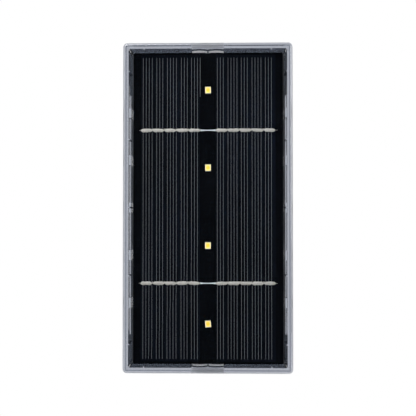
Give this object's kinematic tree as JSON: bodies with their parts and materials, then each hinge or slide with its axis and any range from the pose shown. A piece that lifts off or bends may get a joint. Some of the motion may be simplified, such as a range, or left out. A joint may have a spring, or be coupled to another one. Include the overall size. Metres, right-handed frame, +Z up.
{
  "type": "solar fence light",
  "caption": "Flat rectangular fence light with a clear box cover over a black board of solar strips and small lights, hung on screws by keyholes in its back.",
  "frame": {"origin": "centre of the flat back face, in the plane of the fence", "axes": "+Z up along the light's length, +Y into the fence, -Y out of the fence through the clear face, +X to the right seen from the front"},
  "size_m": [0.0844, 0.03, 0.1642],
  "materials": {
    "clear_cover": "clear, polished polycarbonate",
    "black_cover": "fine-textured black ABS",
    "black_seal": "soft black seal ring",
    "black_bond": "black silicone bead",
    "black_board": "satin black solder mask on laminate",
    "solar_strip": "coated black silicon with fine print lines",
    "solder": "dull tinned solder",
    "light_housing": "white moulded housing",
    "light_fill": "yellow phosphor in clear resin",
    "cell_can": "nickel-plated steel can",
    "cell_wrap": "blue shrink sleeve, unprinted",
    "foam": "closed-cell foam",
    "nickel_tab": "nickel strip",
    "green_board": "green solder mask on laminate",
    "chip_package": "moulded black",
    "choke_shield": "dark ferrite",
    "capacitor_can": "bare can",
    "screw_steel": "zinc-plated",
    "switch_case": "moulded black",
    "switch_stem": "moulded white",
    "button_rubber": "soft black button",
    "ribbon_cable": "grey flat cable",
    "red_lead": "red lead sleeve",
    "black_lead": "black lead sleeve"
  },
  "bodies": {
    "light": {"front_cover": "clear_cover", "back_cover": "black_cover", "perimeter_seal": "black_seal", "button_seal": "black_seal", "board_bond": "black_bond", "solar_board": "black_board", "solar_strip_left_1": "solar_strip", "solar_strip_left_2": "solar_strip", "solar_strip_left_3": "solar_strip", "solar_strip_left_4": "solar_strip", "solar_strip_left_5": "solar_strip", "solar_strip_right_1": "solar_strip", "solar_strip_right_2": "solar_strip", "solar_strip_right_3": "solar_strip", "solar_strip_right_4": "solar_strip", "solar_strip_right_5": "solar_strip", "solder_run_upper_left": "solder", "solder_run_upper_right": "solder", "solder_run_lower_left": "solder", "solder_run_lower_right": "solder", "solder_link_upper": "solder", "solder_link_lower": "solder", "led_housing_1": "light_housing", "led_housing_2": "light_housing", "led_housing_3": "light_housing", "led_housing_4": "light_housing", "led_fill_1": "light_fill", "led_fill_2": "light_fill", "led_fill_3": "light_fill", "led_fill_4": "light_fill", "battery_cell": "cell_can", "battery_wrap": "cell_wrap", "battery_cushion": "foam", "battery_tab_upper": "nickel_tab", "battery_tab_lower": "nickel_tab", "control_board": "green_board", "controller_chip": "chip_package", "choke": "choke_shield", "storage_capacitor": "capacitor_can", "board_screw_upper": "screw_steel", "board_screw_lower": "screw_steel", "switch_body": "switch_case", "panel_ribbon": "ribbon_cable", "battery_lead_red": "red_lead", "battery_lead_black": "black_lead"},
    "button": {"button_cap": "button_rubber", "switch_plunger": "switch_stem"}
  },
  "joints": [
    {"name": "power_button", "type": "slide", "parent": "light", "child": "button", "axis": [0, -1, 0], "range_m": [0, 0.001], "stiffness_N_per_m": 1200, "springref_m": -0.0005}
  ]
}
